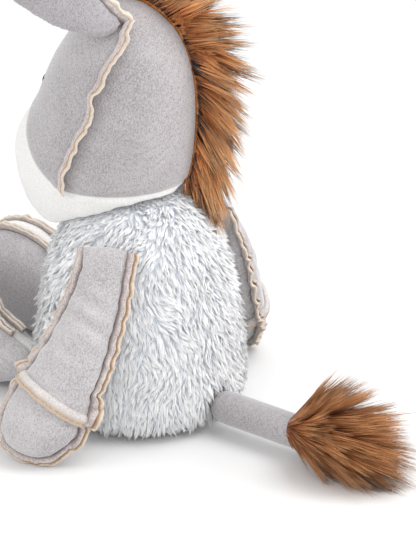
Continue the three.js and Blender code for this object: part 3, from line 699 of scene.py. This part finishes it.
def raw_edge(name, path, outward, height=5.5, thick=1.4, spread=1.0, wave=1.5, lean=None, closed=False,
             seed=0.0, knots=(), clean=1.0, sunk=0.0, rolled=0.0, shorter=None, cloth=edge_velour):
    """Two layers of cloth that stand out from a seam, part a little at the top and wave
    together. The pile curls over the cut of the shorter layer. Clean says how near the
    rim is to bare backing, sunk how far the root is out of the painted crease shade, and
    rolled how far the edge lies over. Near a knot, where seams meet, the edge bunches up."""
    count = len(path)
    ahead, behind = np.roll(path, -1, axis=0), np.roll(path, 1, axis=0)
    if not closed:
        ahead[-1], behind[0] = path[-1], path[0]
    tangent = unit(ahead - behind)
    across = unit(np.cross(tangent, outward))
    up = unit(np.cross(across, tangent))
    lean = np.zeros(3) if lean is None else np.array(lean)
    travel = np.arange(count) * edge_step

    def uneven(size, shift):
        return np.array([noise.noise(Vector((s / size, seed, shift))) for s in travel])

    wobble = uneven(8.5, 0) * 1.3 + uneven(4, 7) * 0.5
    rough = uneven(4, 21) + 0.5 * uneven(1.7, 25)
    parted = np.clip(0.65 + 0.9 * uneven(9, 40), 0.15, 1.3)
    from_end = np.minimum(np.arange(count), np.arange(count)[::-1])
    ease = np.clip(from_end / 12, 0, 1) if closed else np.ones(count)
    bunched = np.zeros(count)
    for knot in knots:
        bunched += np.exp(-(np.linalg.norm(path - np.array(knot), axis=1) / (4.5 * mm)) ** 2)
    wobble = wobble * ease * wave + bunched * 2.6 * np.sin(travel * 1.1)
    tall = height * (1 + (0.13 * rough + 0.25 * uneven(5.5, 33)) * ease + 0.6 * bunched)
    verts, faces, rise, inside = [], [], [], []
    profile = [(-0.5, -0.6), (-0.55, 0.0), (-0.58, 0.3), (-0.56, 0.6), (-0.48, 0.85), (-0.3, 0.97),
               (0.0, 1.0), (0.3, 0.97), (0.48, 0.85), (0.5, 0.6), (0.5, 0.3), (0.5, 0.0), (0.5, -0.6)]
    lower = np.zeros(count) if shorter is None else 0.18 * np.sign(across @ np.array(shorter))
    for layer in (-1, 1):
        first = len(verts)
        level = tall * (1 - layer * lower)
        fray = 0.06 * uneven(1.3, 60 + layer)
        veiled = np.where(layer * lower > 0, 0.25, 0.0)
        for i in range(count):
            for u, v in profile:
                share = max(v, 0)
                full = thick * (0.4 + 0.6 * min(share * 1.6, 1))
                side = layer * (full / 2 + 0.1 + spread * parted[i] * share ** 1.4)
                side += -layer * u * full + wobble[i] * share ** 0.8
                rim = v * (1 + fray[i] * share ** 4)
                rim += rolled * (math.sin(max(v, 0) * 2.0) - rim)
                verts.append(path[i] + across[i] * side * mm + up[i] * rim * level[i] * mm
                             + lean * share ** 1.3 * mm)
                # Rise drives the cream rim and, near the root, the painted crease shade.
                rise.append(sunk + share * (clean - veiled[i] - sunk))
                inside.append(1.0 if u > 0.4 else 0.0)
        faces += ring_faces(first, count, len(profile), closed)
    above_floor = [(v[0], v[1], max(v[2], 0.1 * mm)) for v in verts]
    obj = closed_skin(name, above_floor, faces, cloth)
    keep_attribute(obj, "rise", rise)
    keep_attribute(obj, "inside", inside)
    return obj


head_skin = surface_of(head.data)
cheek_tops = {}
for word, sign in (("left", 1), ("right", -1)):
    path, outward = [], []
    for y, z in cheek_line:
        start = head_turn @ Vector((sign * 90, y, z)) * mm
        hit, normal, _, _ = head_skin.ray_cast(start, head_turn @ Vector((-sign, 0, 0)))
        if hit:
            path.append(hit)
            outward.append(normal)
    path = even(softened(np.array(path), 3))
    outward = np.array([head_skin.find_nearest(Vector(p))[1] for p in path])
    backward = head_turn @ Vector((0, 4.6, 0))
    strip = raw_edge("cheek_edge_" + word, path, softened(unit(outward), 8), seed=3.0 + sign, wave=2.6,
                     thick=1.9, spread=0.55, height=5.2, lean=backward, clean=0.84,
                     shorter=head_turn @ Vector((0, -1, 0)))
    cheek_tops[word] = path[0]
    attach(strip, "head")
    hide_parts("cheek_seam_" + word)

# Eyes
# Closed eyes sewn on the face before it is stuffed, so that nothing can be chewed
# off. Each is a bow of close satin stitches in dark thread.

thread, tree = new_material("eye thread")
twist = grain_of(tree, 1500)
close_material(tree, ramp(tree, twist, [(0.3, "2a211e"), (0.7, "54463f")]), twist, roughness=0.6)
stitches, ring, steps = 17, 6, 5
for word, sign in (("left", 1), ("right", -1)):
    verts, faces = [], []
    for i in range(stitches):
        turn = math.pi * (i / (stitches - 1) - 0.5)
        x = sign * (6.0 + 2.3 * math.sin(turn))
        z = 201.3 - 2.2 * math.cos(turn)
        half = 0.45 + 0.75 * math.cos(turn)
        centre = head_turn @ Vector((x, -90, z)) * mm
        hit, normal, _, _ = head_skin.ray_cast(centre, head_turn @ Vector((0, 1, 0)))
        lift = normal * 0.02 * mm
        up = (head_turn @ Vector((0.12 * sign * math.sin(turn), 0, 1))).normalized()
        side = up.cross(normal).normalized()
        first = len(verts)
        for k in range(steps):
            t = k / (steps - 1) * 2 - 1
            thin = math.sqrt(max(1 - t * t, 0.04))
            for j in range(ring):
                a = 2 * math.pi * j / ring
                off = (side * math.cos(a) * 0.34 + normal * math.sin(a) * 0.24) * mm * thin
                verts.append(hit + lift + up * t * half * 1.2 * mm + off)
        faces += ring_faces(first, steps, ring)
    eye = closed_skin("eye_stitches_" + word, verts, faces, thread)
    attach(eye, "head")
    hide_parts("eye_" + word)

# Mane
# A strip of long brown hair on a knitted back, sewn in between the two sides of
# the head, from the crown down to the nape.

long_lock = pile_tree("long hair", 3, 5)
brown_hair = fur_material("brown hair", [(0.0, "84492c"), (0.22, "ce804e"), (0.65, "fcb478"),
                                         (1.0, "ffd8ac")], ("4a2414", 0.94, 1.5), sheen=0.2)
brown_root, tree = new_material("brown roots")
strand = grain_of(tree, 300, 3)
close_material(tree, ramp(tree, strand, [(0.35, "935a32"), (0.65, "b87a48")]), strand)

mane_hair_room, mane_root_width, mane_root_sunk = 6.5, 0.72, 3.0

mane = stuffed_cover("mane_roots", ["mane"], grain=2.0, rounds=8)
pull_in(mane, mane_hair_room)
rounded(mane, 2)
co = out_of_frame(in_head(points_of(mane)) * np.array([mane_root_width, 1, 1]), head_turn)
for index, point in enumerate(co):
    hit, normal, _, distance = head_skin.find_nearest(Vector(point))
    near = min(max((distance / mm - 3) / 8, 0), 1)
    near = 1 - near * near * (3 - 2 * near)
    co[index] = point * (1 - near) + np.array(hit - normal * mane_root_sunk * mm) * near
move_points(mane, co)
rounded(mane, 1)
finer(mane)
mane.data.materials.append(brown_root)
co, normal = points_of(mane), normals_of(mane)
local = in_head(co)
away = unit(np.stack([0.25 * local[:, 0], local[:, 1] + 5, local[:, 2] - 195], axis=1))
droop = np.interp(local[:, 2], [140, 165, 200, 235, 250, 265], [1.5, 1.2, 0.85, 0.55, 0.3, 0.1])
back = np.interp(local[:, 2], [200, 250], [0.1, 0.4])
away += np.stack([0 * droop, back, -droop], axis=1)
away += 0.35 * drift(co, 75)
keep_attribute(mane, "lay", unit(away) @ np.array(head_turn).T, "FLOAT_VECTOR")
keep_attribute(mane, "reach", 1 + 0.25 * np.array([noise.noise(Vector(p) * 120) for p in co]))
for number, (word, low, high) in enumerate((("lower", -1, 195), ("upper", 195, 999))):
    surface = part_of("surface", mane, lambda p: low <= p.z / mm < high)
    hair = grow_pile("mane_hair_" + word, surface, long_lock, brown_hair, **{
        "Locks per square metre": 8e5, "Clumps per square metre": 4.5e4,
        "Length": 22 * mm, "Width": 0.24 * mm,
        "Lift": 0.15, "Disorder": 0.32, "Gather": 0.6, "Bend": 0.12, "Clump Shade": 0.5, "Seed": 5 + number})
    bpy.data.objects.remove(surface)
    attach(hair, "head")
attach(mane, "head")
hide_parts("mane")

# Ears
# Two layers of velour with a thin pad between them, cupped and sewn to the
# head along a crease, with the raw edges standing on the rear side.


def velour(name, dark, light):
    material, tree = new_material(name)
    share, grain = nap(tree)
    close_material(tree, ramp(tree, share, [(0.36, dark), (0.57, light)]), grain, sheen=0.8, bump=0.7)
    return material


ear_velour = velour("ear velour", "8f8b8e", "b3afb2")
ear_turn, ear_lean = 27, 50


def joint_place(name):
    return next(Vector(j["pos_m"]) for j in frame["joints"] if j["name"] == name)


for word, sign in (("left", 1), ("right", -1)):
    nodes = [f"ear_{word}_outer", f"ear_{word}_lining"]
    ear = stuffed_cover("ear_cover_" + word, nodes, grain=1.6, rounds=8)
    finer(ear)
    ear.data.materials.append(ear_velour)
    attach(ear, f"ear_{word}")
    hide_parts(*nodes)
    turned = (Matrix.Rotation(math.radians(head_facing + sign * ear_turn), 3, "Z")
              @ Matrix.Rotation(math.radians(ear_lean), 3, "X"))
    root = joint_place(f"ear_{word}")
    local = into_frame(points_of(ear), turned, root)
    path, outward = [], []
    for z in np.arange(1, 98, 2.0):
        near = np.abs(local[:, 2] - z) < 1.6
        if near.sum() < 3:
            continue
        ring = local[near]
        rim = ring[np.argsort(ring[:, 1])[-4:]].mean(0)
        path.append(rim)
        outward.append(rim - ring.mean(0))
    path = out_of_frame(np.array(path), turned, root)
    outward = unit(softened(unit(np.array(outward)), 4)) @ np.array(turned).T
    at_crease = head_skin.find_nearest(Vector(cheek_tops[word]))[1]
    path = np.vstack([cheek_tops[word], (cheek_tops[word] + path[0]) / 2, path])
    outward = np.vstack([at_crease, unit(np.array(at_crease) + outward[0]), outward])
    line = even(softened(path, 5))
    along, before = np.linspace(0, 1, len(line)), np.linspace(0, 1, len(outward))
    outward = np.stack([np.interp(along, before, outward[:, k]) for k in range(3)], axis=1)
    strip = raw_edge("ear_edge_" + word, line, outward, seed=11.0 + sign, wave=1.1)
    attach(strip, f"ear_{word}")
    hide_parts(f"ear_{word}_seam")

# Arms
# Flat-sewn sleeves of grey velour with rounded hoof hands, hung from a straight
# hem at the shoulder. Raw edges run down both sides, round the hand and as a
# ring at the wrist.

limb_velour = velour("limb velour", "9a9698", "c2bebf")


def longest_cut(obj, point, normal):
    """The longest closed line where a plane cuts the cover."""
    shape = bmesh.new()
    shape.from_mesh(obj.data)
    result = bmesh.ops.bisect_plane(shape, geom=shape.verts[:] + shape.edges[:] + shape.faces[:],
                                    plane_co=point, plane_no=normal)
    links = {}
    for piece in result["geom_cut"]:
        if isinstance(piece, bmesh.types.BMEdge):
            a, b = piece.verts
            links.setdefault(a, []).append(b)
            links.setdefault(b, []).append(a)
    lines = []
    while links:
        start = next(iter(links))
        line, here, last = [], start, None
        while here in links:
            line.append(np.array(here.co))
            onward = [v for v in links.pop(here) if v is not last and v in links]
            last, here = here, (onward[0] if onward else None)
        lines.append(line)
    shape.free()
    return np.array(max(lines, key=len))


def seam_path(obj, point, normal, wanted=None):
    """That line with the way out of the cover at each point, and whether it is still closed
    when only its wanted points are kept."""
    line = softened(even(longest_cut(obj, point, normal), closed=True), 6, closed=True)
    good = np.array([wanted is None or wanted(p) for p in line])
    closed = bool(good.all())
    if not closed:
        start = next(i for i in range(len(good)) if good[i] and not good[i - 1])
        line, good = np.roll(line, -start, axis=0), np.roll(good, -start)
        line = line[:np.argmin(good)]
    skin = surface_of(obj.data)
    out = np.array([skin.find_nearest(Vector(p))[1] for p in line])
    flat = np.array(Vector(normal).normalized())
    out -= flat * (out @ flat)[:, None]
    return line, unit(softened(unit(out), 6, closed)), closed


band_velour = cut_velour("wrist band velour", "b4adac", "cfcac7")
arm_parts = ("sleeve_outer", "sleeve_inner", "hoof_outer", "hoof_inner", "filling")
arm_splay, arm_turn, wrist_tilt = math.radians(22.4), math.radians(20), math.radians(28)
wrist_drop, band_drop, square_below = 82.8, 80, 12
# The arm bends forward from a tenth of its length on, and the wrist lies at 0.69 of it.
along_bend = (0.69 - 0.1) / 0.9
for word, sign, hand_forward in (("left", 1, 28), ("right", -1, 42)):
    nodes = [f"arm_{word}_{part}" for part in arm_parts]
    arm = stuffed_cover("arm_cover_" + word, nodes, grain=2.2, rounds=10)
    root = joint_place("shoulder_" + word)
    turned = Matrix.Rotation(sign * arm_turn, 3, "Z") @ Matrix.Rotation(-sign * arm_splay, 3, "Y")
    wrist_y = -hand_forward * along_bend ** 2 * (3 - 2 * along_bend)

    def above_wrist(local):
        return local[:, 2] + wrist_drop + (local[:, 1] - wrist_y) * math.tan(wrist_tilt)

    local = into_frame(points_of(arm), turned, root)
    held = (np.abs(local[:, 0]) < 1.5) | (np.abs(above_wrist(local)) < 1.5) | (local[:, 2] > 1)
    packed_tight(arm, held, most=2.5)
    finer(arm)
    lumps(arm, 0.5, 12, squash=2.2)
    # The hem keeps its full width up to the shoulder.
    local = into_frame(points_of(arm), turned, root)
    middle = local[np.abs(local[:, 2] + square_below) < 1, 1]
    centre, full = (middle.max() + middle.min()) / 2, (middle.max() - middle.min()) / 2
    heights = np.arange(-square_below, math.ceil(local[:, 2].max()) + 1)
    wide = [np.abs(local[np.abs(local[:, 2] - h) < 1, 1] - centre).max(initial=1) for h in heights]
    square = np.clip(full / np.interp(local[:, 2], heights, softened(wide, 1)), 1, 1.22)
    local[:, 1] = centre + (local[:, 1] - centre) * np.where(local[:, 2] > -square_below, square, 1)
    move_points(arm, out_of_frame(local, turned, root))
    # Slanting folds cross the sleeve, and the cloth puckers and sinks beside the seam.
    folds = np.array([noise.noise(Vector((x / 30, (0.9 * z + 0.45 * y) / 7, (0.9 * y - 0.45 * z) / 28)))
                      for x, y, z in local]) * np.interp(local[:, 2], [-75, -60, -15, 0], [0, 1, 1, 0])
    from_seam = np.abs(local[:, 0])
    gathers = np.interp(local[:, 2], [-75, -55], [1.0, 0.35])
    pucker = np.array([noise.noise(Vector(p) / (5 * mm)) for p in points_of(arm)]) * gathers * 2.2
    sink = (pucker - 0.9) * np.exp(-(from_seam / 2.6) ** 2) + 0.7 * np.exp(-((from_seam - 6) / 2.6) ** 2)
    sink *= np.clip(-local[:, 2] / 4, 0, 1)
    sink += 1.9 * folds * np.clip((from_seam - 2) / 8, 0.25, 1)
    move_points(arm, points_of(arm) + normals_of(arm) * (sink * mm)[:, None])
    arm.data.materials.append(limb_velour)
    body_name = "arm_" + word
    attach(arm, body_name)
    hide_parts(*nodes)
    lateral = turned @ Vector((1, 0, 0))

    def below_hem(p):
        return into_frame([p], turned, root)[0, 2] < 0.3

    line, out, closed = seam_path(arm, root, lateral, wanted=below_hem)
    # The edge runs straight up to the hem and a little past it.
    hung = into_frame(line, turned, root)
    low = np.nonzero(hung[:, 2] < -8)[0]
    for corner, top in ((low[0], slice(None, low[0])), (low[-1], slice(low[-1] + 1, None))):
        hung[top, 1] = hung[corner, 1]
        out[top] = out[corner]
    hung[:, 2] += np.clip((hung[:, 2] + 8) / 8, 0, 1) * 2.5
    line = out_of_frame(hung, turned, root)
    at_band = line[np.argsort(np.abs(above_wrist(hung)), kind="stable")[:12]]
    opposite = at_band[np.argmax(np.linalg.norm(at_band - at_band[0], axis=1))]
    strip = raw_edge("arm_edge_" + word, line, out, seed=21.0 + sign, height=5.4, thick=2.0, spread=0.45,
                     closed=closed, shorter=lateral * sign, clean=0.82, knots=[at_band[0], opposite],
                     wave=np.interp(hung[:, 2], [-75, -50], [4.6, 1.7]))
    across = turned @ Vector((0, math.sin(wrist_tilt), math.cos(wrist_tilt)))
    at_wrist = root + turned @ Vector((0, wrist_y, -band_drop)) * mm
    line, out, closed = seam_path(arm, at_wrist, across)
    ring = raw_edge("wrist_edge_" + word, line, out, seed=31.0 + sign, height=3.4, thick=0.9, spread=0.0,
                    closed=closed, wave=0.5, lean=across * -6.5, clean=0.72, sunk=0.33, rolled=1.0,
                    cloth=band_velour)
    for obj in (strip, ring):
        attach(obj, body_name)
    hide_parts(f"arm_{word}_seams")

# Legs
# Two grey side panels with a pale strip between them over the top of the leg
# and the standing foot. The two seams of the strip have raw edges.

leg_velour = two_velours("leg velour", "strip", [(0.36, "9e9a9c"), (0.57, "c7c3c5")],
                         [(0.36, "cfccca"), (0.57, "e6e3e1")])


def strip_half(y):
    """Half the width of the pale strip, which narrows from the toe to the hip."""
    return np.interp(y, [-85, -12], [9.0, 3.5])


strip_line = curve_through([(18.5, 8), (-14, 10), (-36, 12), (-70, 20), (-92, 12), (-120, -4)])
leg_parts = ("side_outer", "side_inner", "gusset", "filling")
sewn_half, hip_end = 9, -7
for word, sign in (("left", 1), ("right", -1)):
    nodes = [f"leg_{word}_{part}" for part in leg_parts]
    leg = stuffed_cover("leg_cover_" + word, nodes, grain=2.4, rounds=10)
    root = joint_place("hip_" + word)
    local = (points_of(leg) - np.array(root)) / mm
    over = above_line(local, strip_line)
    beside_strip = (np.abs(np.abs(local[:, 0]) - sewn_half) < 1.3) & (over > 0)
    packed_tight(leg, beside_strip | (local[:, 2] < -22) | (local[:, 1] > -6), most=2.5)
    finer(leg)
    co = points_of(leg)
    co[:, 2] = np.maximum(co[:, 2], 0.05 * mm)
    move_points(leg, co)
    local = (co - np.array(root)) / mm
    over = above_line(local, strip_line)
    keep_attribute(leg, "strip", np.minimum(over, strip_half(local[:, 1]) - np.abs(local[:, 0])))
    leg.data.materials.append(leg_velour)
    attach(leg, "leg_" + word)
    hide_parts(*nodes)

    def over_strip(p):
        flat = np.array([(Vector(p) - root) / mm])
        return above_line(flat, strip_line)[0] > 0 and flat[0, 1] < hip_end

    skin = surface_of(leg.data)
    for place_word, offset in (("outer", sewn_half), ("inner", -sewn_half)):
        point = root + Vector((sign * offset, 0, 0)) * mm
        line, out, closed = seam_path(leg, point, Vector((1, 0, 0)), wanted=over_strip)
        across = strip_half((line[:, 1] - root.y) / mm) * sign * math.copysign(1, offset) * mm
        line[:, 0] = root.x + across
        line = softened(np.array([skin.find_nearest(Vector(p))[0] for p in line]), 4)
        strip = raw_edge(f"leg_edge_{place_word}_{word}", line, out, seed=41.0 + sign + offset,
                         height=4.6, wave=1.2, closed=closed)
        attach(strip, "leg_" + word)
        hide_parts(f"leg_{word}_seam_{place_word}")

# Tail
# A packed velour tube sewn into the centre-back seam of the body, with a tuft of
# long brown hair over its end.

tail = stuffed_cover("tail_cover", ["tail_sleeve", "tail_filling"], grain=1.8, rounds=8)
finer(tail)
tail.data.materials.append(velour("tail velour", "8c888a", "b2aeb0"))
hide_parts("tail_sleeve", "tail_filling")

tuft_brown = fur_material("tuft hair", [(0.0, "5e321a"), (0.22, "a25d34"), (0.65, "cf8a56"),
                                        (1.0, "f4ba86")], ("3a1c0d", 0.94, 1.5), sheen=0.2)
tail_height, tuft_length = 15.5, 30
tuft = stuffed_cover("tuft_roots", ["tail_tuft"], grain=2.4, rounds=8)
outline = surface_of(tuft.data)
co = points_of(tuft)
start = np.array([0, co[:, 1].min(), tail_height * mm])
co = start + (co - start) * np.array([0.5, 0.6, 0.5])
move_points(tuft, co)
rounded(tuft, 2)
tuft.data.materials.append(brown_root)
co, normal = points_of(tuft), normals_of(tuft)
lay = unit(co - start + np.array([0, 13, 0]) * mm)
lay = unit(lay + drift(co, 70) * 0.25)
keep_attribute(tuft, "lay", lay, "FLOAT_VECTOR")
room = np.array([outline.ray_cast(Vector(p), Vector(d))[3] or 0.0 for p, d in zip(co, lay)]) / mm
reach = np.clip(room * 1.05, 8, 36) * (1 + 0.2 * np.array([noise.noise(Vector(p) * 150) for p in co]))
keep_attribute(tuft, "reach", reach / tuft_length)
hair = grow_pile("tuft_hair", tuft, long_lock, tuft_brown, **{
    "Locks per square metre": 1.6e6, "Clumps per square metre": 7e4,
    "Length": tuft_length * mm, "Width": 0.24 * mm,
    "Lift": 0.2, "Disorder": 0.24, "Gather": 0.5, "Bend": 0.06, "Clump Shade": 0.45, "Seed": 9})
for obj in (tail, tuft, hair):
    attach(obj, "tail")
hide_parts("tail_tuft")

# Studio
# A white floor and sky with a large soft lamp overhead and three weak ones round
# the toy. The camera looks at it from behind its left, a little from above.

mesh = bpy.data.meshes.new("floor")
corners = [(x, y, -0.2 * mm) for x, y in ((-6, -6), (6, -6), (6, 6), (-6, 6))]
mesh.from_pydata(corners, [], [(0, 1, 2, 3)])
floor = shown("floor", mesh)
floor_white, tree = new_material("studio floor")
nearly_white = ramp(tree, grain_of(tree, 2), [(0.3, "e9e9e9"), (0.7, "ebebeb")])
diffuse = node(tree, "ShaderNodeBsdfDiffuse", {"Color": nearly_white})
node(tree, "ShaderNodeOutputMaterial", {0: diffuse.outputs[0]})
mesh.materials.append(floor_white)

world = bpy.data.worlds.new("studio")
bpy.context.scene.world = world
world.use_nodes = True
world.node_tree.nodes.clear()
tree = world.node_tree
rays = node(tree, "ShaderNodeLightPath").outputs["Is Camera Ray"]
level = math_node(tree, "ADD", math_node(tree, "MULTIPLY", rays, 0.08), 0.92)
sky = node(tree, "ShaderNodeBackground", {"Color": (1, 1, 1, 1), "Strength": level})
node(tree, "ShaderNodeOutputWorld", {0: sky.outputs[0]})

for name, place, aimed_at, size, power in (
        ("overhead", (-0.35, 0.6, 1.5), 0.1, 1.1, 10), ("right side", (-0.7, 1.3, 0.75), 0.12, 0.8, 8),
        ("left side", (1.35, -0.75, 0.8), 0.12, 0.8, 5), ("camera side", (1.2, 1.0, 0.8), 0.12, 0.8, 3)):
    data = bpy.data.lights.new(name, "AREA")
    data.shape = "DISK"
    data.size = size
    data.energy = power
    lamp = shown(name, data)
    lamp.location = place
    lamp.rotation_euler = (Vector((0, 0, aimed_at)) - Vector(place)).to_track_quat("-Z", "Y").to_euler()

picture_width, picture_height = 416, 549
seat_across, seat_down = 141, 400
azimuth, elevation, away = math.radians(129), math.radians(23), 1.5
toward = Vector((math.sin(azimuth) * math.cos(elevation), -math.cos(azimuth) * math.cos(elevation),
                 math.sin(elevation)))
right = Vector((math.cos(azimuth), math.sin(azimuth), 0))
up = toward.cross(right)
pixel = 0.6 * mm
aim = right * (picture_width / 2 - seat_across) * pixel + up * (seat_down - picture_height / 2) * pixel
lens = bpy.data.cameras.new("camera")
lens.sensor_fit = "HORIZONTAL"
lens.sensor_width = 36
lens.lens = lens.sensor_width * (away / pixel) / picture_width
camera = shown("camera", lens)
view = Matrix((right, up, toward)).transposed().to_4x4()
camera.matrix_world = Matrix.Translation(aim + toward * away) @ view
bpy.context.scene.camera = camera
bpy.context.scene.view_settings.view_transform = "Standard"
